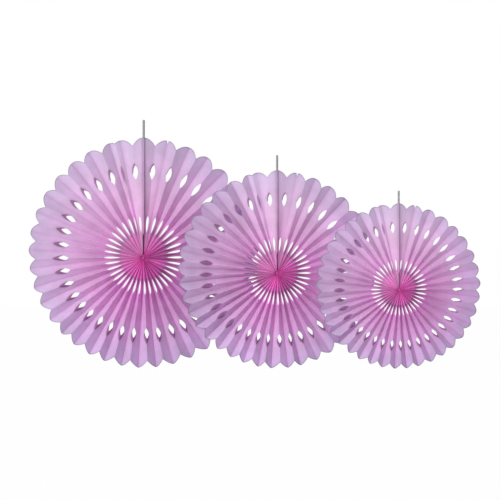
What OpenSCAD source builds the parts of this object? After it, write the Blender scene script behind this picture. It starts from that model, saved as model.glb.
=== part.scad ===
// Paper garland: a row of three pleated paper fans, each hung on a cord of its own.
// Millimetres, +Z up. The fans face -Y and the smaller ones stand in front of the larger.
// The origin is the upper end of the middle cord.

/* [Folds] */
// Petals around each fan
petals = 37; // [24:1:44]
// How far the loose side spreads the petals, in degrees
pitch_swing = 7; // [0:0.5:12]
// Where the pleats lie flattest, in degrees clockwise from the top
loose_side = 20; // [0:5:355]
// Extra share of width of the four panels beside the seam
seam_gain = 0.1; // [0:0.05:0.4]
// Share of width that the two panels at the splice lose
splice_loss = 0.5; // [0:0.05:0.6]
// Which way the fold at the splice leans: -1 as far forward as a ridge, 1 as far back as a crease
splice_lean = 0.3; // [-1:0.1:0.8]
// Roundness of the petal ends
lobe_power = 1.8; // [1.2:0.1:2.6]
// Thickness of the paper
paper_t = 0.3; // [0.1:0.05:0.5]
// Thicknesses of paper that lie along the axis at the hub
hub_crowd = 6; // [3:1:9]

/* [Large fan] */
// Diameter over the petal tips
large_d = 350; // [300:1:400]
// Diameter of the hole at the hub
large_hub_d = 3.2; // [2.6:0.1:6]
// Depth of the pleats at the hub
large_hub_depth = 16; // [13:0.5:28]
// Depth of the pleats at the rim
large_rim_depth = 12; // [6:0.5:16]
// Depth of the cut between two petals
large_notch = 11.5; // [4:0.5:16]
// Length of a leaf-shaped hole
large_hole_l = 24.5; // [12:0.5:28]
// Width of a leaf-shaped hole
large_hole_w = 8.5; // [4:0.5:11]
// Distance from the petal tips to the outer end of a hole
large_hole_inset = 37.5; // [30:0.5:50]
// Length of a slit
large_slit_l = 26; // [15:0.5:34]
// Width of a slit
large_slit_w = 3.6; // [1.4:0.2:4.6]
// Radius at the inner end of a slit
large_slit_start = 34.5; // [26:0.5:42]
// Length of cord that stands above the petals
large_cord_rise = 27; // [12:1:60]
// How far the hub hangs below the middle of the rim
large_hub_drop = 7.9; // [0:0.1:12]

/* [Middle fan] */
// Diameter over the petal tips
middle_d = 300; // [260:1:340]
// Diameter of the hole at the hub
middle_hub_d = 2.8; // [2.4:0.1:5]
// Depth of the pleats at the hub
middle_hub_depth = 13.7; // [11:0.1:24]
// Depth of the pleats at the rim
middle_rim_depth = 10.3; // [5:0.1:14]
// Depth of the cut between two petals
middle_notch = 9.8; // [4:0.2:14]
// Length of a leaf-shaped hole
middle_hole_l = 21; // [10:0.1:24]
// Width of a leaf-shaped hole
middle_hole_w = 7.3; // [3:0.1:9.5]
// Distance from the petal tips to the outer end of a hole
middle_hole_inset = 32.1; // [26:0.1:43]
// Length of a slit
middle_slit_l = 22.3; // [12:0.1:29]
// Width of a slit
middle_slit_w = 3.1; // [1.2:0.1:4]
// Radius at the inner end of a slit
middle_slit_start = 29.5; // [22:0.1:36]
// Length of cord that stands above the petals
middle_cord_rise = 23; // [10:1:60]
// How far the hub hangs below the middle of the rim
middle_hub_drop = 5.9; // [0:0.1:10]

/* [Small fan] */
// Diameter over the petal tips
small_d = 250; // [210:1:280]
// Diameter of the hole at the hub
small_hub_d = 2.4; // [2:0.1:4.5]
// Depth of the pleats at the hub
small_hub_depth = 11.4; // [9:0.1:20]
// Depth of the pleats at the rim
small_rim_depth = 8.6; // [4:0.1:12]
// Depth of the cut between two petals
small_notch = 8.2; // [3:0.1:12]
// Length of a leaf-shaped hole
small_hole_l = 17.5; // [8:0.1:20]
// Width of a leaf-shaped hole
small_hole_w = 6.1; // [3:0.1:8]
// Distance from the petal tips to the outer end of a hole
small_hole_inset = 26.8; // [22:0.1:36]
// Length of a slit
small_slit_l = 18.6; // [10:0.1:24]
// Width of a slit
small_slit_w = 2.6; // [1:0.1:3.3]
// Radius at the inner end of a slit
small_slit_start = 24.6; // [19:0.1:30]
// Length of cord that stands above the petals
small_cord_rise = 19; // [8:1:60]
// How far the hub hangs below the middle of the rim
small_hub_drop = 5.5; // [0:0.1:8]

/* [Nick] */
// Length of the nick in the petal to the right of the seam
nick_l = 5; // [2:0.5:8]
// Width of the nick at the rim
nick_w = 2.4; // [1:0.2:4]

/* [Row] */
// Distance across from the large fan's hub to the middle fan's hub
middle_x = 202; // [190:1:230]
// Distance across from the middle fan's hub to the small fan's hub
small_x = 183; // [165:1:200]
// Clearance between a fan and the one behind it
fan_gap = 0.3; // [0.1:0.1:0.8]

/* [Cord and thread] */
// Diameter of the cord
cord_d = 3.2; // [1.6:0.1:4]
// Clearance between the cord and what it lies against
cord_gap = 0.3; // [0.1:0.1:0.8]
// Diameter of the thread through the hub
thread_d = 1.6; // [0.8:0.1:1.8]
// How far a knot laps over the folds at the hub
knot_lap = 0.5; // [0.3:0.1:1.5]
// Clearance between a knot and the folds at the hub
knot_gap = 0.2; // [0.1:0.1:0.8]

/* [Hidden] */
$fn = 48;
cord_sides = 8;
slit_peak = 0.7;
hole_steps = [0.2, 0.5, 0.8];
lobe_steps = [1 / 3, 2 / 3];
folds = 2 * petals;
splice_fold = folds - 3;
nick_fold = 2;
splice_notch = 0.25;
// Shares of the radius between which the cord goes from behind the folds into the hollow of the seam
cord_dip = [0.09, 0.35];

// The sizes of one fan, in the order that the functions below read them
large = [large_d, large_hub_d, large_hub_depth, large_rim_depth, large_notch, large_hole_l,
         large_hole_w, large_hole_inset, large_slit_l, large_slit_w,
         large_slit_start, large_cord_rise, large_hub_drop];
middle = [middle_d, middle_hub_d, middle_hub_depth, middle_rim_depth, middle_notch, middle_hole_l,
          middle_hole_w, middle_hole_inset, middle_slit_l, middle_slit_w,
          middle_slit_start, middle_cord_rise, middle_hub_drop];
small = [small_d, small_hub_d, small_hub_depth, small_rim_depth, small_notch, small_hole_l,
         small_hole_w, small_hole_inset, small_slit_l, small_slit_w,
         small_slit_start, small_cord_rise, small_hub_drop];
function tip_r(f) = f[0] / 2;
function hub_r(f) = f[1] / 2;
function hub_depth(f) = f[2];
function rim_depth(f) = f[3];
function notch(f) = f[4];
function hole_l(f) = f[5];
function hole_w(f) = f[6];
function hole_out(f) = tip_r(f) - f[7];
function hole_in(f) = hole_out(f) - hole_l(f);
function slit_l(f) = f[8];
function slit_w(f) = f[9];
function slit_in(f) = f[10];
function slit_out(f) = slit_in(f) + slit_l(f);
function cord_rise(f) = f[11];
function hub_drop(f) = f[12];

// Depth of the pleats, and length of paper along the axis, at a radius: both run straight from hub to rim
function along(f, r, at_hub, at_rim) = at_hub + (at_rim - at_hub) * r / tip_r(f);
function depth(f, r) = along(f, r, hub_depth(f), rim_depth(f));
function half_pitch(f) = PI * tip_r(f) / petals;
function rim_ply(f) = paper_t * sqrt(1 + pow(rim_depth(f) / half_pitch(f), 2));
function ply(f, r) = along(f, r, hub_crowd * paper_t, rim_ply(f));
function reach(f, r) = depth(f, r) / 2 + ply(f, r) / 2;

// Where a fold lies, in degrees clockwise from the top. Fold 0 is the seam, even folds are the petals'
// creases and odd folds the ridges between petals, which carry the cuts. The panels at the seam are wider,
// those at the splice narrower.
function share(j) = j + seam_gain * (min(j, 2) + max(0, j - folds + 2))
    - splice_loss * min(2, max(0, j - splice_fold + 1));
function turn(j) = let (u = 360 * share(j) / share(folds))
    u + pitch_swing * (sin(u - loose_side) + sin(loose_side));

// Which way a fold leans: the petals' creases lie back, the ridges between petals stand forward, the ridge
// at the splice is shallow, and the seam stands on a wide ridge with the folds beside it half way
function lean(j) = let (k = j % folds)
    k == 0 ? -1 : k == 1 || k == folds - 1 ? 0 : k == splice_fold ? splice_lean : k % 2 == 0 ? 1 : -1;

// How far a point at a radius hangs below its place on a fan with its hub in the middle,
// because the folds bend down to the hub
function sink(f, r) = hub_drop(f) * pow(1 - r / tip_r(f), 2);

// Point at a radius, a share s of the way from one fold to the next, with the radius as a fourth number
function spot(f, j, k, s, r) = let (a = turn(j) + s * (turn(k) - turn(j)))
    [r * sin(a), (lean(j) + s * (lean(k) - lean(j))) * depth(f, r) / 2, r * cos(a) - sink(f, r), r];

// Share of a panel that half of a cut takes, w wide at radius r
function cut_share(w, r) = w / 2 * petals / (PI * r);

function crease_radii(f, j) = let (slit_mid = slit_in(f) + slit_peak * slit_l(f))
    [hub_r(f), slit_mid, (slit_out(f) + hole_in(f)) / 2, (hole_in(f) + hole_out(f)) / 2,
     tip_r(f) - (j % folds == nick_fold ? nick_l : 0)];
function notch_at(f, j) = notch(f) * (j == splice_fold ? splice_notch : 1);
function ridge_radii(f, j) = [hub_r(f), slit_in(f), slit_out(f), hole_in(f), hole_out(f),
    tip_r(f) - notch_at(f, j)];

// Points of one panel that lie off its folds: the slit's bulge, the hole's edge and the petal's rounded end
function lobe_shares(f, k) = k % folds == nick_fold ? [0.5, 1 - cut_share(nick_w, tip_r(f))] : lobe_steps;
function side_points(f, j, k) = let (slit_mid = slit_in(f) + slit_peak * slit_l(f)) concat(
    [spot(f, j, k, cut_share(slit_w(f), slit_mid), slit_mid)],
    [for (t = hole_steps) let (r = hole_in(f) + t * hole_l(f))
        spot(f, j, k, 4 * t * (1 - t) * cut_share(hole_w(f), r), r)],
    [for (s = lobe_shares(f, k)) spot(f, j, k, s, tip_r(f) - notch_at(f, j) * pow(1 - s, lobe_power))]);

// One petal's points: the crease before fold j, fold j itself, and the panels on either side of it
function petal_points(f, j) = concat(
    [for (r = crease_radii(f, j - 1)) spot(f, j - 1, j - 1, 0, r)],
    [for (r = ridge_radii(f, j)) spot(f, j, j, 0, r)],
    side_points(f, j, j - 1),
    side_points(f, j, j + 1));
crease = [0, 1, 2, 3, 4];
ridge = [5, 6, 7, 8, 9, 10];
left_side = [11, 12, 13, 14, 15, 16];
right_side = [17, 18, 19, 20, 21, 22];
points_per_petal = len(crease) + len(ridge) + len(left_side) + len(right_side);

// Triangles of one panel, with crease points a, ridge points b and side points c
function panel_faces(a, b, c) = [
    [a[0], b[0], b[1]], [a[0], b[1], c[0]], [a[0], c[0], a[1]], [c[0], b[2], a[1]], [a[1], b[2], a[2]],
    [a[2], b[2], b[3]], [a[2], b[3], c[1]], [a[2], c[1], a[3]], [a[3], c[1], c[2]], [a[3], c[2], c[3]],
    [a[3], c[3], a[4]], [c[3], b[4], a[4]], [b[4], b[5], a[4]], [b[5], c[4], a[4]], [c[4], c[5], a[4]]];
// Cut edges of one panel, which show the paper's thickness
function panel_edges(a, b, c) = [
    [a[0], b[0]], [b[1], c[0]], [c[0], b[2]], [b[3], c[1]], [c[1], c[2]], [c[2], c[3]], [c[3], b[4]],
    [b[5], c[4]], [c[4], c[5]], [c[5], a[4]]];
function flip(face) = [for (n = [len(face) - 1 : -1 : 0]) face[n]];
function shift(face, n) = [for (k = face) k + n];
function wall(edge, n) = [edge[0], edge[1], edge[1] + n, edge[0] + n];

// Closed sheet of pleated paper: front layer first, then the same points one paper thickness behind
module fan(f) {
    mid = [for (i = [0 : petals - 1]) each petal_points(f, 2 * i + 1)];
    layer = len(mid);
    points = [for (side = [-1, 1]) for (p = mid)
        [p[0], p[1] + side * ply(f, p[3]) / 2, p[2]]];
    left = [for (i = [0 : petals - 1]) let (n = i * points_per_petal)
        [shift(crease, n), shift(ridge, n), shift(left_side, n)]];
    right = [for (i = [0 : petals - 1])
        let (n = i * points_per_petal, next = (i + 1) % petals * points_per_petal)
        [shift(crease, next), shift(ridge, n), shift(right_side, n)]];
    left_faces = [for (p = left) each panel_faces(p[0], p[1], p[2])];
    right_faces = [for (p = right) each panel_faces(p[0], p[1], p[2])];
    left_edges = [for (p = left) each panel_edges(p[0], p[1], p[2])];
    right_edges = [for (p = right) each panel_edges(p[0], p[1], p[2])];
    polyhedron(points, concat(
        [for (t = left_faces) flip(t)],
        right_faces,
        [for (t = left_faces) shift(t, layer)],
        [for (t = right_faces) flip(shift(t, layer))],
        [for (e = left_edges) wall(e, layer)],
        [for (e = right_edges) flip(wall(e, layer))]));
}

// Thread through the hub, with a half-round knot against the folds at each end
module hub_thread(f) {
    seat = reach(f, hub_r(f)) + knot_gap;
    knot_r = hub_r(f) + knot_lap;
    translate([0, 0, -sink(f, 0)]) {
        rotate([90, 0, 0]) cylinder(d = thread_d, h = 2 * seat + knot_r, center = true);
        for (way = [-1, 1]) translate([0, way * seat, 0]) intersection() {
            sphere(r = knot_r);
            translate([0, way * knot_r, 0]) cube(2 * knot_r, center = true);
        }
    }
}

// Cord from the hub's knot, behind the folds at first, then in the hollow of the seam and up past the petals,
// swept along its own points
function behind_folds(f, r) = reach(f, r) + cord_gap + cord_d / 2;
function in_seam(f, r) = let (steepness = depth(f, r) / 2 / (r * sin(turn(1))))
    (ply(f, r) - depth(f, r)) / 2 + (cord_gap + cord_d / 2) * sqrt(1 + pow(steepness, 2));
function cord_route(f) = let (start = hub_r(f) + knot_lap + cord_gap, leave = cord_dip[0] * tip_r(f),
                              settle = cord_dip[1] * tip_r(f), rim_y = in_seam(f, tip_r(f))) [
    [0, behind_folds(f, start), start - sink(f, start)],
    [0, behind_folds(f, leave), leave - sink(f, leave)],
    [0, in_seam(f, settle), settle - sink(f, settle)],
    [0, rim_y, tip_r(f)],
    [0, rim_y, tip_r(f) + cord_rise(f)]];
module cord(route) {
    rings = len(route);
    points = [for (p = route) for (n = [0 : cord_sides - 1]) let (a = 360 * n / cord_sides)
        p + cord_d / 2 * [cos(a), sin(a), 0]];
    sides = [for (i = [0 : rings - 2]) for (n = [0 : cord_sides - 1])
        let (m = (n + 1) % cord_sides, low = i * cord_sides, high = low + cord_sides)
        [low + n, high + n, high + m, low + m]];
    bottom = [for (n = [0 : cord_sides - 1]) n];
    top = flip([for (n = [0 : cord_sides - 1]) (rings - 1) * cord_sides + n]);
    polyhedron(points, concat([bottom], sides, [top]));
}

// Places of the three fans: their lowest tips are level, and each just clears the one behind it
function step(rear, front, dx) =
    let (apart = norm([dx, tip_r(rear) - tip_r(front)]), ridge_r = tip_r(rear) - notch(rear))
    fan_gap + max(reach(rear, apart - tip_r(front)) + reach(front, tip_r(front)),
                  reach(rear, ridge_r) + reach(front, apart - ridge_r));
middle_y = -in_seam(middle, tip_r(middle));
base_z = -middle_d - cord_rise(middle);
large_at = [-middle_x, middle_y + step(large, middle, middle_x), base_z + tip_r(large)];
middle_at = [0, middle_y, base_z + tip_r(middle)];
small_at = [small_x, middle_y - step(middle, small, small_x), base_z + tip_r(small)];

module fan_large() { color("plum") translate(large_at) fan(large); }
module fan_middle() { color("plum") translate(middle_at) fan(middle); }
module fan_small() { color("plum") translate(small_at) fan(small); }
module cord_large() { color("gray") translate(large_at) cord(cord_route(large)); }
module cord_middle() { color("gray") translate(middle_at) cord(cord_route(middle)); }
module cord_small() { color("gray") translate(small_at) cord(cord_route(small)); }
module hub_thread_large() { color("mediumvioletred") translate(large_at) hub_thread(large); }
module hub_thread_middle() { color("mediumvioletred") translate(middle_at) hub_thread(middle); }
module hub_thread_small() { color("mediumvioletred") translate(small_at) hub_thread(small); }

fan_large();
fan_middle();
fan_small();
cord_large();
cord_middle();
cord_small();
hub_thread_large();
hub_thread_middle();
hub_thread_small();
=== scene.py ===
"""Paper garland: three pleated paper fans in a row, each hung on a twisted cord of its own.

Metres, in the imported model's frame: +X along the row, -Y the way the fans face, +Z up.
Angles on a fan are degrees clockwise from its top, as seen from the front.
The sizes and the formulas of the folds repeat those of the part's source.
"""
from types import SimpleNamespace

import bpy
import numpy as np
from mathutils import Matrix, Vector


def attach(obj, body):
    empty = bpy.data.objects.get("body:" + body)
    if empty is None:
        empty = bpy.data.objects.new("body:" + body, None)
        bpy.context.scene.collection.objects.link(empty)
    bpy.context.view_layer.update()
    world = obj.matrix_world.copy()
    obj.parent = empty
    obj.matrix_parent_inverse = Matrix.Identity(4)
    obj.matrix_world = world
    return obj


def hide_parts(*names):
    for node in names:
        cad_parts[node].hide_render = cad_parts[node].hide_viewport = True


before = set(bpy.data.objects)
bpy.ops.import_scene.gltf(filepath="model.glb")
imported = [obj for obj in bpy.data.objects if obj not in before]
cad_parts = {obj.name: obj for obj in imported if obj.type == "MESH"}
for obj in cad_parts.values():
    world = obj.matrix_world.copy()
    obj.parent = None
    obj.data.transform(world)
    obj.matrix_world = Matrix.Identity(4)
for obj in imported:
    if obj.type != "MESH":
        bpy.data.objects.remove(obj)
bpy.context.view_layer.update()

MM = 0.001

# The folds and cuts, as in the part's source
PETALS = 37
FOLDS = 2 * PETALS
PITCH_SWING = 7.0
LOOSE_SIDE = 20.0
SEAM_GAIN = 0.1
SPLICE_FOLD = FOLDS - 3
SPLICE_LOSS = 0.5
SPLICE_LEAN = 0.3
SPLICE_NOTCH = 0.25
LOBE_POWER = 1.8
PAPER_T = 0.3 * MM
HUB_CROWD = 6
NICK_FOLD = 2
NICK_L = 5 * MM
NICK_W = 2.4 * MM
SLIT_PEAK = 0.7

# The row, its cords and its knots, as in the part's source
MIDDLE_X = 202 * MM
SMALL_X = 183 * MM
FAN_GAP = 0.3 * MM
CORD_D = 3.2 * MM
CORD_GAP = 0.3 * MM
CORD_DIP = (0.09, 0.35)
KNOT_LAP = 0.5 * MM
KNOT_GAP = 0.2 * MM

# What a hand leaves: spreads from fold to fold, and how folds and cuts change from side to side
TURN_SPREAD = 0.3
LEAN_SPREAD = 0.05
BOW_SPREAD = 0.03
LOBE_SWING = 0.4
LOOSE_FLAT = 0.2
SEAM_SHADE = 0.35
SLIT_OPEN = 0.82
HOLE_CLOSE = 0.28
CLOSE_SIDE = 50.0

# The crowded folds around the hub, as shares of a panel's width, the slits' start and the radius
GROOVE = 2.6
CROWD_FULL = 0.8
SWELL = 0.02
SWELL_FOOT = 0.012
SWELL_CREST = 0.03

# The second ply in the holes, on the large fan
PLY_REACH = 10 * MM
PLY_GROWTH = 0.6
PLY_SHORT = 1 * MM
PLY_COVER = 1.1
PLY_ASIDE = 2.4 * MM
PLY_SIDE = 135.0
PLY_LAP = 1.5 * MM
PLY_LEAST = 0.5 * MM
PLY_GAP = 0.1 * MM
PLY_HALF_T = 0.07 * MM
# Share of the second ply's painted shade where it covers the hole at the splice
PLY_AT_SPLICE = 0.8

# The arch of paper over the cord along the seam, with painted shade at its edges and the painted shadow
# of a split in it, on the large fan
ARCH_SPAN = (0.03, 0.995)
ARCH_HALF_W = 2.1 * MM
ARCH_TAPER = 0.22
ARCH_NARROW = 0.6
ARCH_RISE = 0.5 * MM
ARCH_GAP = 0.1 * MM
ARCH_HALF_T = 0.1 * MM
ARCH_SHADE = 0.1
ARCH_EDGE = 1.1
SPLIT_END = 0.2
SPLIT_EASE = 0.02
SPLIT_ASIDE = 0.2
SPLIT_SHADE = 2.0

# Twisted yarns: sides of the tube, length of a twist, strands, and depth between them
CORD_YARN = SimpleNamespace(sides=16, twist=9 * MM, strands=3, groove=0.12)
THREAD_YARN = SimpleNamespace(sides=10, twist=2 * MM, strands=2, groove=0.25)
YARN_DOME = 0.15
YARN_STRETCH = (1, 8, 1)

# The cord over the crests of its strands, on the large fan, and the thread's knots
CORD_WORN = 3.75 * MM
CORD_SPACING = 0.5 * MM
CORD_ROUNDING = 6 * MM
THREAD_R = 0.36 * MM
KNOT_TURNS = 3.5
KNOT_START = 0.12
KNOT_POINTS = 160
INWARD_POINTS = 30

# Meshes: rows and columns, the distance within which points are one, the angles in radians past which
# edges show as sharp, and a distance from the rim at which its edge doesn't show
ROWS = (9, 12, 9, 15)
RIM_ROWS = 10
COLUMNS = (0, 0.08, 0.2, 0.35, 0.5, 0.65, 0.8, 0.919, 1)
PLY_ROWS = 7
PLY_COLUMNS = (0, 0.06, 0.12, 0.18, 0.25, 0.33, 0.42)
ARCH_ROWS = 40
ARCH_COLUMNS = 9
WELD = 1e-6
PAPER_SHARP = 0.5
YARN_SHARP = 1.2
NO_RIM = 10 * MM

# The paper's colour: the sides towards which painted light makes it paler and greyer, with painted shade
# across from them, and the share of light let through
PAINTED_LIT_SIDE = 275.0
PAINTED_LIT_GREY_SIDE = 315.0
LET_THROUGH = 0.56

# Camera, light and floor
CAMERA_AT = (-0.100, -2.0, -0.1434)
CAMERA_YAW = -1.69
SENSOR_W = 36
FOCAL_PIXELS = 1324
PHOTO_PIXELS = 500
WORLD_LIGHT = 0.26
FLOOR_DROP = 0.25
FLOOR_HALF = 8
FLOOR_WHITE = 0.985


def fan_sizes(name, seed, d, hub_d, hub_depth, rim_depth, notch, hole_l, hole_w, hole_inset,
              slit_l, slit_w, slit_start, cord_rise, hub_drop):
    """Sizes of one fan, given in millimetres as in the part's source and kept in metres."""
    tip_r = d / 2
    return SimpleNamespace(
        name=name, seed=seed, tip_r=tip_r * MM, hub_r=hub_d / 2 * MM, hub_depth=hub_depth * MM,
        rim_depth=rim_depth * MM, notch=notch * MM, hole_l=hole_l * MM, hole_w=hole_w * MM,
        hole_in=(tip_r - hole_inset - hole_l) * MM, hole_out=(tip_r - hole_inset) * MM,
        slit_l=slit_l * MM, slit_w=slit_w * MM, slit_in=slit_start * MM,
        slit_out=(slit_start + slit_l) * MM, cord_rise=cord_rise * MM, hub_drop=hub_drop * MM)


large = fan_sizes("large", seed=11, d=350, hub_d=3.2, hub_depth=16, rim_depth=12, notch=11.5,
                  hole_l=24.5, hole_w=8.5, hole_inset=37.5, slit_l=26, slit_w=3.6, slit_start=34.5,
                  cord_rise=27, hub_drop=7.9)
middle = fan_sizes("middle", seed=23, d=300, hub_d=2.8, hub_depth=13.7, rim_depth=10.3, notch=9.8,
                   hole_l=21, hole_w=7.3, hole_inset=32.1, slit_l=22.3, slit_w=3.1, slit_start=29.5,
                   cord_rise=23, hub_drop=5.9)
small = fan_sizes("small", seed=37, d=250, hub_d=2.4, hub_depth=11.4, rim_depth=8.6, notch=8.2,
                  hole_l=17.5, hole_w=6.1, hole_inset=26.8, slit_l=18.6, slit_w=2.6, slit_start=24.6,
                  cord_rise=19, hub_drop=5.5)
fans = (large, middle, small)


# How the paper is folded

def along(fan, r, at_hub, at_rim):
    """A size that runs straight from hub to rim, at radius r."""
    return at_hub + (at_rim - at_hub) * r / fan.tip_r


def depth(fan, r):
    """Depth of the pleats at radius r."""
    return along(fan, r, fan.hub_depth, fan.rim_depth)


def ply(fan, r):
    """Length of paper along Y at radius r: crowded at the hub, one slanting sheet at the rim."""
    slope = fan.rim_depth / (np.pi * fan.tip_r / PETALS)
    return along(fan, r, HUB_CROWD * PAPER_T, PAPER_T * np.sqrt(1 + slope ** 2))


def reach(fan, r):
    """How far the paper stands from the fan's middle plane at radius r."""
    return depth(fan, r) / 2 + ply(fan, r) / 2


def sink(fan, r):
    """How far a point at radius r hangs below its place on a fan with its hub in the middle:
    the hub's drop times the square of the share of the radius that is left."""
    return fan.hub_drop * (1 - r / fan.tip_r) ** 2


def eased(share):
    """A share held between 0 and 1 and eased at both: three times its square less twice its cube."""
    t = np.clip(share, 0, 1)
    return t * t * (3 - 2 * t)


def crowding(fan, r):
    """How much of the pleats' depth the crowded folds fill at radius r: all but a groove somewhat deeper
    than a panel is wide near the hub, and nothing from the outer end of the slits on."""
    groove = GROOVE * np.pi * r / PETALS
    return (depth(fan, r) - groove) * eased((fan.slit_out - r) / (fan.slit_out - CROWD_FULL * fan.slit_in))


def swelling(fan, r):
    """How far the crowded folds swell forward around the hub: an eased rise from the knot to the crest,
    and a longer eased fall to the outer end of the slits."""
    foot = SWELL_FOOT * fan.tip_r
    crest = SWELL_CREST * fan.tip_r
    rise = (r - foot) / (crest - foot)
    fall = (fan.slit_out - r) / (fan.slit_out - crest)
    return SWELL * fan.tip_r * eased(np.minimum(rise, fall))


def front_reach(fan, r, lean):
    """How far ahead of its middle surface the front of the paper stands, where it leans so."""
    return ply(fan, r) / 2 + crowding(fan, r) * (1 + lean) / 2 + swelling(fan, r)


def fold_turns():
    """Angle of each fold, seam to seam: equal shares of the turn, wider beside the seam and narrower
    at the splice, then spread by a sine on the loose side."""
    j = np.arange(FOLDS + 1)
    share = (j + SEAM_GAIN * (np.minimum(j, 2) + np.maximum(0, j - FOLDS + 2))
             - SPLICE_LOSS * np.clip(j - SPLICE_FOLD + 1, 0, 2))
    u = 360 * share / share[-1]
    return u + PITCH_SWING * (np.sin(np.radians(u - LOOSE_SIDE)) + np.sin(np.radians(LOOSE_SIDE)))


def fold_leans():
    """Which way each fold leans, seam to seam: the petals' creases 1, back, and the ridges between petals
    -1, forward. The ridge at the splice is shallow, and the seam stands on a wide ridge of its own, with
    the folds beside it half way."""
    lean = np.where(np.arange(FOLDS + 1) % 2 == 0, 1.0, -1.0)
    lean[SPLICE_FOLD] = SPLICE_LEAN
    lean[[0, 1, -2, -1]] = -1, 0, 0, -1
    return lean


def nearness(turn, side):
    """How near an angle is to one side: 1 there, 0 across from it, and a cosine between."""
    return 0.5 + 0.5 * np.cos(np.radians(turn - side))


def fold_paper(fan):
    """The folds of one fan as a hand leaves them: their turns and leans, and each panel's bow and tint,
    with small differences from one to the next. All but the seam lie flatter towards the loose side.
    Beside the seam the panel on the right is steeper and the one on the left flatter, with no bow."""
    rng = np.random.default_rng(fan.seed)
    turns = fold_turns()
    turns[3:-4] += rng.normal(0, TURN_SPREAD, FOLDS - 6)
    leans = fold_leans()
    leans[2:-4] *= 1 + rng.normal(0, LEAN_SPREAD, FOLDS - 5)
    leans[[1, -2]] += SEAM_SHADE, -SEAM_SHADE
    leans[1:-1] *= 1 - LOOSE_FLAT * nearness(turns[1:-1], LOOSE_SIDE)
    ridge = np.arange(1, FOLDS, 2).reshape(-1, 1, 1, 1)
    bow = rng.normal(0.0, BOW_SPREAD, (PETALS, 2, 1, 1))
    bow[0, 0] = bow[-1, 1] = 0
    tint = rng.normal(0, 1, (PETALS, 2, 1, 1))
    crease = ridge + np.array([-1, 1]).reshape(1, 2, 1, 1)
    return SimpleNamespace(turns=turns, leans=leans, ridge=ridge, crease=crease, bow=bow, tint=tint)


def across_panel(folds, values, s):
    """A value that each fold has, at share s of the way from ridge to crease."""
    ridge, crease = values[folds.ridge], values[folds.crease]
    return ridge + s * (crease - ridge)


def on_panel(fan, folds, s, r):
    """Points at radius r and share s from ridge to crease: they turn and lean a share s of the way from
    fold to fold, each panel bows a little by a half sine, and the whole hangs down to the hub."""
    angle = np.radians(across_panel(folds, folds.turns, s))
    lean = across_panel(folds, folds.leans, s)
    y = lean * depth(fan, r) / 2 - folds.bow * depth(fan, r) * np.sin(np.pi * s)
    return np.stack(np.broadcast_arrays(r * np.sin(angle), y, r * np.cos(angle) - sink(fan, r)), -1)


# What is cut from it

def cut_share(width, r):
    """Share of a panel that half of a cut takes, at radius r."""
    return width / 2 * PETALS / (np.pi * r)


def leaf_shape(t):
    """Shape along a hole, from 0 at its ends to 1 in the middle: a parabola."""
    return np.clip(4 * t * (1 - t), 0, None)


def leaf_end(fan, share):
    """Radius at which a hole ends, at a share of its half width from its middle line: the outer root
    of the leaf's parabola."""
    return fan.hole_in + fan.hole_l * (0.5 + 0.5 * np.sqrt(np.clip(1 - share, 0, 1)))


def slit_shape(t):
    """Shape along a slit: two half parabolas that meet at its widest place."""
    before = 1 - ((SLIT_PEAK - t) / SLIT_PEAK) ** 2
    after = 1 - ((t - SLIT_PEAK) / (1 - SLIT_PEAK)) ** 2
    return np.clip(np.where(t < SLIT_PEAK, before, after), 0, None)


def hole_width(fan, folds):
    """Width of each hole as it stands: its cut width, less a share towards the upper right."""
    return fan.hole_w * (1 - HOLE_CLOSE * nearness(folds.turns[folds.ridge], CLOSE_SIDE) ** 2)


def rim_radius(fan, folds, s):
    """Radius of the cut rim at share s from ridge to crease: the tip less the notch times a power
    of the way back to the ridge, rounder at the top than at the bottom, and a small nick in one crease."""
    notch = fan.notch * np.where(folds.ridge == SPLICE_FOLD, SPLICE_NOTCH, 1.0)
    power = LOBE_POWER + LOBE_SWING * np.cos(np.radians(folds.turns[folds.ridge]))
    nick = np.clip(1 - (1 - s) / cut_share(NICK_W, fan.tip_r), 0, 1) * (folds.crease == NICK_FOLD)
    return fan.tip_r - notch * (1 - s) ** power - NICK_L * nick


def paper_grid(fan, folds):
    """Half petals of one fan as a grid of (petal, side, row, column): rows run from hub to rim, and
    columns from the ridge, or the cut that lies on it, to the crease."""
    ends = (fan.hub_r, fan.slit_in, fan.slit_out, fan.hole_in, fan.hole_out)
    stretches = [np.linspace(a, b, n) for a, b, n in zip(ends, ends[1:], ROWS)]
    inner = np.unique(np.concatenate(stretches).round(7))
    outer = np.linspace(0, 1, RIM_ROWS)[1:]
    r_low = np.concatenate([inner, np.full(len(outer), fan.hole_out)]).reshape(1, 1, -1, 1)
    climb = np.concatenate([np.zeros(len(inner)), outer]).reshape(1, 1, -1, 1)
    q = np.array(COLUMNS).reshape(1, 1, 1, -1)
    cut = (leaf_shape((r_low - fan.hole_in) / fan.hole_l) * cut_share(hole_width(fan, folds), r_low)
           + slit_shape((r_low - fan.slit_in) / fan.slit_l) * cut_share(SLIT_OPEN * fan.slit_w, r_low))
    cut = np.where(climb > 0, 0, cut)
    s = cut + (1 - cut) * q
    rim = rim_radius(fan, folds, s)
    r = r_low + climb * (rim - fan.hole_out)
    return SimpleNamespace(points=on_panel(fan, folds, s, r), r=r, s=s, rim=rim, painted_shade=0.0,
                           lean=across_panel(folds, folds.leans, s))


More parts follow.
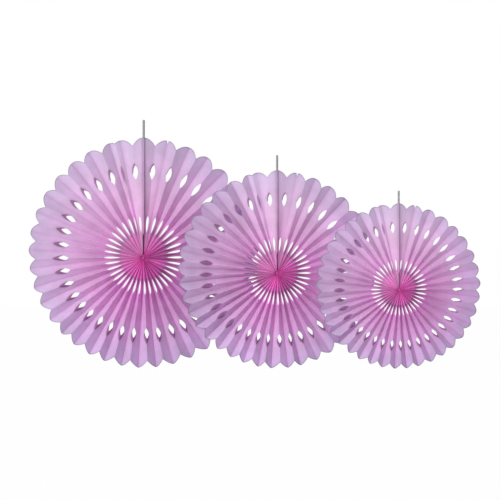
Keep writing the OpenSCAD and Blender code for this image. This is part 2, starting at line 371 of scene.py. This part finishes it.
def backing_grid(fan, folds):
    """The second ply that shows in the outer end of most holes, as a grid like the paper's: a crescent
    that ends just past the hole. Its inner edge is the outer end of the same leaf shape, set nearer to
    the hub by a length that grows both ways from the upper right, and a little to the side; at the
    splice it covers the whole hole."""
    scale = fan.tip_r / large.tip_r
    turn = folds.turns[folds.ridge]
    at_splice = folds.ridge == SPLICE_FOLD
    away = 1 - nearness(turn, CLOSE_SIDE)
    inward = (PLY_REACH * away ** PLY_GROWTH - PLY_SHORT) * scale
    inward = np.where(at_splice, PLY_COVER * fan.hole_l, inward)
    s = np.array(PLY_COLUMNS).reshape(1, 1, 1, -1)
    middle_r = (fan.hole_in + fan.hole_out) / 2
    widest = cut_share(hole_width(fan, folds), middle_r)
    aside = cut_share(PLY_ASIDE * scale, middle_r) * np.cos(np.radians(turn - PLY_SIDE))
    off_middle = np.abs(s * np.sign(folds.crease - folds.ridge) + aside)
    edge = leaf_end(fan, off_middle / widest) - inward
    end = np.maximum(leaf_end(fan, s / widest) + PLY_LAP * scale, edge + PLY_LEAST)
    r = edge + (end - edge) * np.linspace(0, 1, PLY_ROWS).reshape(1, 1, -1, 1)
    points = on_panel(fan, folds, s, r)
    points[..., 1] += ply(fan, r) / 2 + PLY_GAP
    # Painted shade: the second ply is darkened fully, and a little less where it covers the hole at the
    # splice
    return SimpleNamespace(points=points, r=r, s=s, lean=0.0, rim=r + NO_RIM,
                           painted_shade=np.where(at_splice, PLY_AT_SPLICE, 1.0))


def seam_grid(fan, folds):
    """The paper drawn over the cord along the seam, as a grid like the paper's with one petal and side:
    a low arch along the top of the seam's ridge, from the hub to the tip, on the slope of the panel at
    each side. It carries painted shade at its edges, and a painted shadow near the hub that stands for a
    split in the seam; the arch itself stays whole."""
    scale = fan.tip_r / large.tip_r
    u = np.linspace(-1, 1, ARCH_COLUMNS).reshape(1, 1, 1, -1)
    r = fan.tip_r * np.linspace(*ARCH_SPAN, ARCH_ROWS).reshape(1, 1, -1, 1)
    x = u * (ARCH_HALF_W * scale * np.clip(r / (ARCH_TAPER * fan.tip_r), ARCH_NARROW, 1))
    beside = np.where(u < 0, folds.leans[-2], folds.leans[1])
    apart = np.radians(np.where(u < 0, 360 - folds.turns[-2], folds.turns[1]))
    lean = (1 + beside) * np.abs(x) / (r * apart) - 1
    y = lean * depth(fan, r) / 2 - front_reach(fan, r, lean) - ARCH_GAP - ARCH_RISE * (1 - u ** 2)
    z = np.sqrt(r ** 2 - x ** 2) - sink(fan, r)
    points = np.stack(np.broadcast_arrays(x, y, z), -1)
    # Painted shadow near the hub, standing for a split in the seam
    painted_split_shadow = (np.clip((SPLIT_END - r / fan.tip_r) / SPLIT_EASE, 0, 1)
             * np.clip(2 - 2 * np.abs(u + SPLIT_ASIDE), 0, 1))
    # Painted shade along the arch's edges
    at_edges = ARCH_SHADE + ARCH_EDGE * scale ** 2 * u ** 8
    return SimpleNamespace(points=points, r=r, s=0.5, lean=0.0, rim=r + NO_RIM,
                           painted_shade=np.maximum(SPLIT_SHADE * painted_split_shadow * scale ** 0.7, at_edges))


# Making meshes

def weld(points):
    """The distinct points of a grid, the place of each among the grid's own, and each grid point's
    number among them, so that neighbours share the points on their folds."""
    flat = points.reshape(-1, 3)
    _, first, number = np.unique(np.round(flat / WELD).astype(np.int64), axis=0,
                                 return_index=True, return_inverse=True)
    return flat[first], first, number.reshape(points.shape[:-1])


def grid_quads(number):
    """Four-cornered faces between neighbours in a grid whose last two axes are rows and columns."""
    return np.stack([number[..., :-1, :-1], number[..., :-1, 1:],
                     number[..., 1:, 1:], number[..., 1:, :-1]], -1)


def closed_sheet(points, quads, ahead, behind):
    """A sheet of paper from its middle surface: one layer ahead of it along Y, one behind it,
    and a wall on each open edge. The last number returned is where the walls start."""
    n = len(points)
    front, back = points.copy(), points.copy()
    front[:, 1] -= ahead
    back[:, 1] += behind
    edges = np.concatenate([quads[:, [0, 1]], quads[:, [1, 2]], quads[:, [2, 3]], quads[:, [3, 0]]])
    open_edge = ~np.isin(edges[:, 0] * n + edges[:, 1], edges[:, 1] * n + edges[:, 0])
    a, b = edges[open_edge].T
    walls = np.stack([b, a, a + n, b + n], -1)
    faces = np.concatenate([quads, quads[:, ::-1] + n, walls])
    return np.concatenate([front, back]), faces, 2 * len(quads)


def make_piece(name, node, material, points, faces, sharp):
    """A piece on the body from an array of points and a list of arrays of faces, where the faces in
    one array have as many corners."""
    corners = np.concatenate([f.ravel() for f in faces]).astype(np.int32)
    counts = np.concatenate([np.full(len(f), f.shape[1]) for f in faces])
    mesh = bpy.data.meshes.new(name)
    mesh.vertices.add(len(points))
    mesh.vertices.foreach_set("co", np.ascontiguousarray(points, np.float32).ravel())
    mesh.loops.add(len(corners))
    mesh.loops.foreach_set("vertex_index", corners)
    mesh.polygons.add(len(counts))
    mesh.polygons.foreach_set("loop_start", (np.cumsum(counts) - counts).astype(np.int32))
    mesh.update(calc_edges=True)
    mesh.validate()
    mesh.shade_smooth()
    mesh.set_sharp_from_angle(angle=sharp)
    mesh.materials.append(material)
    piece = bpy.data.objects.new(name, mesh)
    bpy.context.scene.collection.objects.link(piece)
    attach(piece, "root")
    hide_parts(node)
    return piece


def set_values(piece, name, domain, values):
    """Keeps one number for each point or face of a piece, for its material to read."""
    layer = piece.data.attributes.new(name, "FLOAT", domain)
    layer.data.foreach_set("value", np.ascontiguousarray(values, np.float32))


def lengths_along(path):
    """Length of a path from its start to each of its points."""
    return np.concatenate([[0], np.cumsum(np.linalg.norm(np.diff(path, axis=0), axis=1))])


def tube(path, radius, yarn):
    """A closed tube along a path. The profile is a circle with a lobe for each strand, and it turns
    with the length, as a twisted yarn does; both ends are domed. Its first side is square to the path
    and to a direction askew of it, or to another where those two nearly agree. Returns points, faces,
    and the angle and length of each point on the profile."""
    length = lengths_along(path)
    ahead = np.gradient(path, axis=0)
    ahead /= np.linalg.norm(ahead, axis=1)[:, None]
    askew, other = np.array([0.31, 0.11, 0.94]), np.array([1.0, 0.2, 0.1])
    side = np.cross(ahead, askew)
    side = np.where(np.linalg.norm(side, axis=1)[:, None] < 0.2, np.cross(ahead, other), side)
    side /= np.linalg.norm(side, axis=1)[:, None]
    up = np.cross(ahead, side)
    around = 2 * np.pi * np.arange(yarn.sides) / yarn.sides
    wave = around[None, :] - 2 * np.pi / yarn.twist * length[:, None]
    size = radius * (1 - yarn.groove * (0.5 - 0.5 * np.cos(yarn.strands * wave)))
    end = np.minimum(length, length[-1] - length) / radius
    size = size * np.sqrt(np.clip(1 - (1 - np.clip(end + YARN_DOME, 0, 1)) ** 2, 0, 1))[:, None]
    points = (path[:, None, :] + size[..., None] * (np.cos(around)[None, :, None] * side[:, None, :]
                                                    + np.sin(around)[None, :, None] * up[:, None, :]))
    number = np.arange(points.shape[0] * yarn.sides).reshape(-1, yarn.sides)
    ring = np.concatenate([number, number[:, :1]], axis=1)
    quads = grid_quads(ring).reshape(-1, 4)
    caps = np.stack([number[0, ::-1], number[-1]])
    return points.reshape(-1, 3), [quads, caps], wave.ravel(), np.repeat(length, yarn.sides)


# Materials

def linear(red, green, blue):
    """A colour written as 0 to 255 on screen, as the linear colour that a shader takes."""
    c = np.array([red, green, blue]) / 255
    c = np.where(c <= 0.04045, c / 12.92, ((c + 0.055) / 1.055) ** 2.4)
    return (*map(float, c), 1.0)


def fit(tree, n, name, value):
    """Gives one input of a node, by its name or its number, a value: a socket is linked, and anything
    else is set."""
    socket = n.inputs[int(name) if name.isdigit() else name]
    if isinstance(value, bpy.types.NodeSocket):
        tree.links.new(value, socket)
    else:
        socket.default_value = value


def add(tree, kind, **inputs):
    """A node with the given inputs, named with underlines for spaces."""
    n = tree.nodes.new(kind)
    for name, value in inputs.items():
        fit(tree, n, name.replace("_", " "), value)
    return n


def maths(tree, operation, a, b):
    """A Math node's result."""
    n = add(tree, "ShaderNodeMath", **{"0": a, "1": b})
    n.operation = operation
    return n.outputs[0]


def blend_colours(tree, factor, a, b):
    """Colour a changed towards b by a factor."""
    n = tree.nodes.new("ShaderNodeMix")
    n.data_type = "RGBA"
    fit(tree, n, "0", factor)
    fit(tree, n, "6", a)
    fit(tree, n, "7", b)
    return n.outputs[2]


def mix_shaders(tree, factor, a, b):
    """Shader a changed towards b by a factor."""
    return add(tree, "ShaderNodeMixShader", **{"0": factor, "1": a, "2": b}).outputs[0]


def spread(tree, value, low, high, to_low=0.0, to_high=1.0):
    """A Map Range node's result, held between its ends and eased."""
    n = add(tree, "ShaderNodeMapRange", **{"0": value, "1": low, "2": high, "3": to_low, "4": to_high})
    n.interpolation_type = "SMOOTHSTEP"
    return n.outputs[0]


def own_value(tree, name):
    """A number that the piece keeps for each point or face."""
    n = tree.nodes.new("ShaderNodeAttribute")
    n.attribute_name = name
    return n.outputs["Fac"]


def new_material(name):
    """A material with an empty tree, and its output node."""
    material = bpy.data.materials.new(name)
    material.use_nodes = True
    tree = material.node_tree
    tree.nodes.clear()
    return material, tree, tree.nodes.new("ShaderNodeOutputMaterial")


def fibre_group():
    """Fibres that paper, cord and thread show: a broad cloudy mottle, fine fibres that are shorter along
    an axis with a greater stretch, and a height made of both."""
    tree = bpy.data.node_groups.new("Fibres", "ShaderNodeTree")
    for name, kind in (("Vector", "NodeSocketVector"), ("Cloud size", "NodeSocketFloat"),
                       ("Fibre size", "NodeSocketFloat"), ("Stretch", "NodeSocketVector")):
        tree.interface.new_socket(name, in_out="INPUT", socket_type=kind)
    for name in ("Mottle", "Fibre", "Height"):
        tree.interface.new_socket(name, in_out="OUTPUT", socket_type="NodeSocketFloat")
    given = tree.nodes.new("NodeGroupInput").outputs
    result = tree.nodes.new("NodeGroupOutput").inputs
    cloud = add(tree, "ShaderNodeTexNoise", Vector=given["Vector"], Scale=given["Cloud size"],
                Detail=3.0, Roughness=0.55).outputs["Fac"]
    stretched = add(tree, "ShaderNodeVectorMath", **{"0": given["Vector"], "1": given["Stretch"]})
    stretched.operation = "MULTIPLY"
    strands = add(tree, "ShaderNodeTexNoise", Vector=stretched.outputs[0], Scale=given["Fibre size"],
                  Detail=5.0, Roughness=0.65, Distortion=0.6)
    fibre = spread(tree, strands.outputs["Fac"], 0.3, 0.7)
    height = maths(tree, "ADD", maths(tree, "MULTIPLY", fibre, 0.6), maths(tree, "MULTIPLY", cloud, 0.4))
    tree.links.new(cloud, result["Mottle"])
    tree.links.new(fibre, result["Fibre"])
    tree.links.new(height, result["Height"])
    return tree


fibres = fibre_group()


def place_fibres(tree, vector, cloud, fine, stretch=(1, 1, 1)):
    """What the fibre group puts out with its own values."""
    n = tree.nodes.new("ShaderNodeGroup")
    n.node_tree = fibres
    fit(tree, n, "Vector", vector)
    fit(tree, n, "Cloud size", cloud)
    fit(tree, n, "Fibre size", fine)
    fit(tree, n, "Stretch", stretch)
    return n.outputs


def colour_ramp(tree, value, stops):
    """A colour ramp from (place, colour) pairs."""
    n = add(tree, "ShaderNodeValToRGB", Fac=value)
    n.color_ramp.interpolation = "EASE"
    elements = n.color_ramp.elements
    while len(elements) < len(stops):
        elements.new(0.5)
    for element, (place, colour) in zip(elements, stops):
        element.position = place
        element.color = colour
    return n.outputs["Color"]


def towards(tree, side):
    """How far a point lies to one side of its fan: the cosine of the angle between."""
    turn = np.radians(side)
    return maths(tree, "ADD", maths(tree, "MULTIPLY", own_value(tree, "across"), float(np.sin(turn))),
                 maths(tree, "MULTIPLY", own_value(tree, "upward"), float(np.cos(turn))))


def paper_material():
    """Tissue-weight paper: pale lilac at the rim, with painted shade that deepens it to pink towards the
    hub where the pleats crowd, a painted highlight on the ridges, painted shade in the creases, greyer on
    cut edges, painted shade on the second ply and along the seam's arch, and a painted shadow in the seam
    near the hub, with fine fibres. Painted light makes each fan paler to one side and greyer to another,
    and painted shade darker and deeper across from them. Part of the light comes through the sheet, in a
    deeper colour than the light that it sends back."""
    material, tree, out = new_material("Lilac paper")
    where = tree.nodes.new("ShaderNodeTexCoord").outputs["Object"]
    grain = place_fibres(tree, where, cloud=45.0, fine=900.0)
    ring = own_value(tree, "ring")
    fold = own_value(tree, "fold")
    painted_shade = own_value(tree, "painted_shade")
    # Painted shade: the paper's own pale lilac at the rim, deepened to pink towards the hub where the
    # crowded pleats shade and tint one another
    colour = colour_ramp(tree, ring, [
        (0.0, linear(228, 104, 194)), (0.12, linear(233, 146, 213)), (0.3, linear(241, 193, 236)),
        (0.5, linear(234, 195, 231)), (0.75, linear(229, 199, 232)), (0.93, linear(221, 198, 229)),
        (1.0, linear(216, 200, 228))])
    # Painted highlight: a paler band along each forward ridge, where the light catches the fold
    painted_ridge_light_and_cord_width = spread(tree, fold, 0.0, 0.1, 0.25, 0.0)
    colour = blend_colours(tree, painted_ridge_light_and_cord_width, colour, linear(232, 200, 234))
    # Painted shade: deeper pink in the creases at the back of the pleats, strongest towards the hub
    painted_crease_shade = maths(tree, "MULTIPLY", spread(tree, fold, 0.6, 1.0), spread(tree, ring, 0.15, 0.4, 0.5, 0.15))
    colour = blend_colours(tree, painted_crease_shade, colour, linear(186, 96, 168))
    edge = spread(tree, own_value(tree, "edge"), 0.0005, 0.002, 0.65, 0.0)
    colour = blend_colours(tree, edge, colour, linear(152, 136, 162))
    cut = maths(tree, "MULTIPLY", own_value(tree, "cut"), 0.6)
    colour = blend_colours(tree, cut, colour, linear(190, 176, 200))
    # Painted shade: darker pink on the second ply, on its cover at the splice and along the edges of the
    # seam's arch
    shade = maths(tree, "MULTIPLY", painted_shade, 0.9)
    colour = blend_colours(tree, shade, colour, linear(176, 114, 172))
    # Painted shadow: dark magenta where the seam splits near the hub
    painted_split_shadow = spread(tree, painted_shade, 1.2, 2.0, 0.0, 0.9)
    colour = blend_colours(tree, painted_split_shadow, colour, linear(104, 24, 84))
    tint = maths(tree, "MULTIPLY", own_value(tree, "tint"), spread(tree, ring, 0.12, 0.3, 0.14, 0.02))
    level = maths(tree, "ADD", spread(tree, grain["Mottle"], 0.3, 0.7, -0.05, 0.05), tint)
    level = maths(tree, "ADD", level, spread(tree, grain["Fibre"], 0.0, 1.0, 0.96, 1.03))
    # Painted light and shade: each fan paler to its left and greyer to its upper left, where the light
    # falls, and darker and deeper across from them
    level = maths(tree, "ADD", level, spread(tree, towards(tree, PAINTED_LIT_SIDE), -1.0, 1.0, -0.08, 0.03))
    purity = spread(tree, towards(tree, PAINTED_LIT_GREY_SIDE), -1.0, 1.0, 1.17, 0.87)
    colour = add(tree, "ShaderNodeHueSaturation", Saturation=purity, Value=level, Color=colour).outputs[0]
    bump = add(tree, "ShaderNodeBump", Strength=0.25, Distance=0.0001, Height=grain["Height"])
    greyed = add(tree, "ShaderNodeHueSaturation", Saturation=0.75, Color=colour)
    sheet = add(tree, "ShaderNodeBsdfPrincipled", Base_Color=greyed.outputs[0], Normal=bump.outputs[0],
                Roughness=spread(tree, grain["Fibre"], 0.0, 1.0, 0.78, 0.9), Specular_IOR_Level=0.2)
    thin = add(tree, "ShaderNodeGamma", Color=colour, Gamma=0.6)
    through = add(tree, "ShaderNodeHueSaturation", Saturation=1.35, Color=thin.outputs[0])
    glow = add(tree, "ShaderNodeBsdfTranslucent", Color=through.outputs[0], Normal=bump.outputs[0])
    both = mix_shaders(tree, LET_THROUGH, sheet.outputs[0], glow.outputs[0])
    tree.links.new(both, out.inputs["Surface"])
    return material


def twisted_material(name, pale, dark, groove):
    """Twisted yarn: two tones by strand, painted shade in the grooves between the strands, with fine
    fibres.
    """
    material, tree, out = new_material(name)
    where = tree.nodes.new("ShaderNodeUVMap")
    where.uv_map = "lay"
    grain = place_fibres(tree, where.outputs[0], cloud=120.0, fine=500.0, stretch=YARN_STRETCH)
    colour = blend_colours(tree, spread(tree, own_value(tree, "strand"), -0.4, 0.4), dark, pale)
    # Painted shade in the grooves between the strands
    hollow = spread(tree, own_value(tree, "height"), 0.2, 0.75, 0.75, 0.0)
    colour = blend_colours(tree, hollow, colour, groove)
    level = spread(tree, grain["Fibre"], 0.0, 1.0, 0.82, 1.12)
    tone = add(tree, "ShaderNodeHueSaturation", Value=level, Color=colour)
    bump = add(tree, "ShaderNodeBump", Strength=0.5, Distance=0.0002, Height=grain["Height"])
    yarn = add(tree, "ShaderNodeBsdfPrincipled", Base_Color=tone.outputs[0], Normal=bump.outputs[0],
               Roughness=spread(tree, grain["Mottle"], 0.3, 0.7, 0.65, 0.85), Specular_IOR_Level=0.3,
               Sheen_Weight=0.2)
    tree.links.new(yarn.outputs[0], out.inputs["Surface"])
    return material


lilac_paper = paper_material()
# The groove colours are painted shade between the strands
grey_cord = twisted_material("Grey cord", pale=linear(172, 171, 173), dark=linear(158, 156, 159),
                             groove=linear(132, 130, 134))
pink_thread = twisted_material("Pink thread", pale=linear(214, 120, 182), dark=linear(196, 92, 164),
                               groove=linear(140, 52, 112))


# The row

def behind_folds(fan, r):
    """How far behind the fan's middle plane the cord's own middle lies where it is behind the folds."""
    return reach(fan, r) + CORD_GAP + CORD_D / 2


def in_seam(fan, r):
    """How far behind the middle plane the cord's own middle lies in the hollow of the seam: just clear of
    both sides of a fold whose half depth over half width is its steepness."""
    steepness = depth(fan, r) / 2 / (r * np.sin(np.radians(fold_turns()[1])))
    return (ply(fan, r) - depth(fan, r)) / 2 + (CORD_GAP + CORD_D / 2) * np.sqrt(1 + steepness ** 2)


def row_step(rear, front, dx):
    """How far a fan stands in front of the one behind it, so that their folds just clear."""
    apart = np.hypot(dx, rear.tip_r - front.tip_r)
    ridge_r = rear.tip_r - rear.notch
    return FAN_GAP + max(reach(rear, apart - front.tip_r) + reach(front, front.tip_r),
                         reach(rear, ridge_r) + reach(front, apart - ridge_r))


middle_y = -in_seam(middle, middle.tip_r)
base_z = -2 * middle.tip_r - middle.cord_rise
large.at = np.array([-MIDDLE_X, middle_y + row_step(large, middle, MIDDLE_X), base_z + large.tip_r])
middle.at = np.array([0, middle_y, base_z + middle.tip_r])
small.at = np.array([SMALL_X, middle_y - row_step(middle, small, SMALL_X), base_z + small.tip_r])


# The fans

def sheet_of(fan, grid, tint=0.0, half_t=None):
    """A closed sheet from a grid of half petals, with what its material reads at each point and face.
    Where a petal has two sides, the columns of the first run the other way, so its faces are turned
    over. The paper itself is as thick as its folds make it, and other sheets have half a thickness."""
    points, first, number = weld(grid.points)
    quads = grid_quads(number)
    if quads.shape[1] == 2:
        quads[:, 0] = quads[:, 0, ..., ::-1]
    shape = grid.points.shape[:-1]
    r, fold, lean, rim, painted_shade = (np.broadcast_to(v, shape).reshape(-1)[first]
                                 for v in (grid.r, grid.s, grid.lean, grid.rim, grid.painted_shade))
    tint = np.broadcast_to(tint, quads.shape[:-1]).reshape(-1)
    across, upward = points[:, [0, 2]].T / np.hypot(points[:, 0], points[:, 2])
    ahead = behind = half_t
    if half_t is None:
        ahead = front_reach(fan, r, lean)
        behind = front_reach(fan, r, -lean) - swelling(fan, r)
    solid, faces, walls = closed_sheet(points, quads.reshape(-1, 4), ahead, behind)
    wall = np.arange(len(faces)) >= walls
    at_points = {"ring": r / fan.tip_r, "fold": fold, "edge": rim - r, "painted_shade": painted_shade,
                 "across": across, "upward": upward}
    at_points = {name: np.tile(values, 2) for name, values in at_points.items()}
    at_faces = {"tint": np.where(wall, 0, np.resize(tint, len(faces))), "cut": wall.astype(float)}
    return SimpleNamespace(points=solid, faces=faces, at_points=at_points, at_faces=at_faces)


def make_fan(fan):
    """One fan: its panels welded at the folds, the second ply behind its holes and the seam's arch."""
    folds = fold_paper(fan)
    sheets = (sheet_of(fan, paper_grid(fan, folds), tint=folds.tint),
              sheet_of(fan, backing_grid(fan, folds), half_t=PLY_HALF_T),
              sheet_of(fan, seam_grid(fan, folds), half_t=ARCH_HALF_T))
    starts = np.cumsum([0] + [len(sheet.points) for sheet in sheets])
    points = np.concatenate([sheet.points for sheet in sheets]) + fan.at
    faces = [sheet.faces + start for sheet, start in zip(sheets, starts)]
    piece = make_piece(f"paper_fan_{fan.name}", f"fan_{fan.name}", lilac_paper, points, faces,
                       PAPER_SHARP)
    for domain, part in (("POINT", "at_points"), ("FACE", "at_faces")):
        kept = [getattr(sheet, part) for sheet in sheets]
        for name in kept[0]:
            set_values(piece, name, domain, np.concatenate([values[name] for values in kept]))


# The cords and the threads

def smooth_path(corners, spacing, rounding):
    """Points a spacing apart along straight stretches between corners, with each corner eased by
    averaging over a length of the path."""
    length = lengths_along(corners)
    u = np.linspace(0, length[-1], int(round(length[-1] / spacing)) + 1)
    shifts = np.linspace(-rounding, rounding, 9)
    room = np.minimum(1, np.minimum(u, length[-1] - u) / rounding)
    at = u[:, None] + shifts[None, :] * room[:, None]
    return np.stack([np.interp(at, length, corners[:, k]).mean(axis=1) for k in range(3)], -1)


def make_yarn(name, node, material, path, radius, lay_r, yarn):
    """A twisted yarn along a path, with what its material reads: which strand, how high on it, and a
    lay along the strands."""
    points, faces, wave, length = tube(path, radius, yarn)
    piece = make_piece(name, node, material, points, faces, YARN_SHARP)
    set_values(piece, "strand", "POINT", np.cos(wave))
    set_values(piece, "height", "POINT", 0.5 + 0.5 * np.cos(yarn.strands * wave))
    corners = np.empty(len(piece.data.loops), np.int32)
    piece.data.loops.foreach_get("vertex_index", corners)
    lay = np.stack([wave[corners] * lay_r, length[corners]], -1)
    piece.data.uv_layers.new(name="lay").data.foreach_set("uv", lay.astype(np.float32).ravel())
    return piece


def make_cord(fan):
    """The cord: from the knot at the hub, behind the folds at first, then in the hollow of the seam to the
    tips, and straight up to its plain end."""
    start = fan.hub_r + KNOT_LAP + CORD_GAP
    leave, settle = (share * fan.tip_r for share in CORD_DIP)
    rim_y = in_seam(fan, fan.tip_r)
    corners = [(0, behind_folds(fan, start), start - sink(fan, start)),
               (0, behind_folds(fan, leave), leave - sink(fan, leave)),
               (0, in_seam(fan, settle), settle - sink(fan, settle)),
               (0, rim_y, fan.tip_r),
               (0, rim_y, fan.tip_r + fan.cord_rise)]
    path = smooth_path(np.array(corners) + fan.at, CORD_SPACING, CORD_ROUNDING)
    painted_ridge_light_and_cord_width = CORD_WORN * np.sqrt(fan.tip_r / large.tip_r)
    piece = make_yarn(f"twisted_cord_{fan.name}", f"cord_{fan.name}", grey_cord,
                      path, painted_ridge_light_and_cord_width / 2, CORD_D / 2, CORD_YARN)


def make_thread(fan):
    """The thread through the hub: wound over a half round knot in front, through the folds, and over
    another behind. The winding is a spiral whose polar angle grows with its turns, and from its end
    the thread goes in along a parabola."""
    seat = reach(fan, fan.hub_r) + KNOT_GAP + THREAD_R
    knot_r = fan.hub_r + KNOT_LAP - THREAD_R
    t = np.linspace(0, 1, KNOT_POINTS)[:, None]
    turn = 2 * np.pi * KNOT_TURNS * t
    polar = np.pi / 2 * (KNOT_START + (1 - KNOT_START) * t)
    dome = np.concatenate([knot_r * np.sin(polar) * np.cos(turn), -knot_r * np.cos(polar),
                           knot_r * np.sin(polar) * np.sin(turn)], axis=1) + [0, -seat, 0]
    u = np.linspace(0, 1, INWARD_POINTS)[1:, None]
    into = dome[-1] * [1, 0, 1] * (1 - u) ** 2 + np.array([0, -seat, 0]) + u ** 2 * [0, seat, 0]
    front = np.concatenate([dome, into])
    back = front[::-1][1:] * [1, -1, 1]
    path = np.concatenate([front, back]) + fan.at - [0, 0, fan.hub_drop]
    make_yarn(f"gathering_thread_{fan.name}", f"hub_thread_{fan.name}", pink_thread,
              path, THREAD_R, THREAD_R, THREAD_YARN)


for fan in fans:
    make_fan(fan)
    make_cord(fan)
    make_thread(fan)


# Camera, light and floor

camera = bpy.data.objects.new("Camera", bpy.data.cameras.new("Camera"))
camera.location = CAMERA_AT
camera.rotation_euler = (np.radians(90), 0, np.radians(CAMERA_YAW))
camera.data.sensor_width = SENSOR_W
camera.data.lens = SENSOR_W * FOCAL_PIXELS / PHOTO_PIXELS
bpy.context.scene.collection.objects.link(camera)
bpy.context.scene.camera = camera


def soft_lamp(name, place, target, breadth, strength):
    """An even studio light from one side, as broad as the given angle, that points at a target."""
    lamp = bpy.data.lights.new(name, "SUN")
    lamp.angle = np.radians(breadth)
    lamp.energy = strength
    obj = bpy.data.objects.new(name, lamp)
    obj.location = place
    obj.rotation_euler = (Vector(target) - obj.location).to_track_quat("-Z", "Y").to_euler()
    bpy.context.scene.collection.objects.link(obj)


soft_lamp("Key", place=(-3.1, -5.0, 1.0), target=(0, 0, -0.17), breadth=26, strength=2.75)


def seen_directly(tree):
    """1 where the camera, a mirror or a glass looks straight at the background, else 0."""
    path = tree.nodes.new("ShaderNodeLightPath")
    first = maths(tree, "MAXIMUM", path.outputs["Is Camera Ray"], path.outputs["Is Glossy Ray"])
    return maths(tree, "MAXIMUM", first, path.outputs["Is Transmission Ray"])


def make_world():
    """White to look at, and a plain soft light on the object."""
    world = bpy.data.worlds.new("Studio")
    world.use_nodes = True
    tree = world.node_tree
    tree.nodes.clear()
    light = add(tree, "ShaderNodeBackground", Color=(1, 1, 1, 1), Strength=WORLD_LIGHT)
    white = add(tree, "ShaderNodeBackground", Color=(1, 1, 1, 1), Strength=1.0)
    both = mix_shaders(tree, seen_directly(tree), light.outputs[0], white.outputs[0])
    out = tree.nodes.new("ShaderNodeOutputWorld")
    tree.links.new(both, out.inputs["Surface"])
    bpy.context.scene.world = world


def make_floor():
    """A plain pale floor below the hanging fans, white to the camera but for a little of its shadow."""
    material, tree, out = new_material("Pale floor")
    matt = add(tree, "ShaderNodeBsdfDiffuse", Color=(0.9, 0.9, 0.9, 1))
    white = add(tree, "ShaderNodeEmission", Color=(1, 1, 1, 1), Strength=1.0)
    share = maths(tree, "MULTIPLY", seen_directly(tree), FLOOR_WHITE)
    tree.links.new(mix_shaders(tree, share, matt.outputs[0], white.outputs[0]), out.inputs["Surface"])
    z = base_z - FLOOR_DROP
    corners = [(FLOOR_HALF * x, FLOOR_HALF * y, z) for x, y in ((-1, -1), (1, -1), (1, 1), (-1, 1))]
    mesh = bpy.data.meshes.new("Floor")
    mesh.from_pydata(corners, [], [(0, 1, 2, 3)])
    mesh.materials.append(material)
    floor = bpy.data.objects.new("Floor", mesh)
    bpy.context.scene.collection.objects.link(floor)


make_world()
make_floor()
bpy.context.scene.view_settings.view_transform = "Standard"
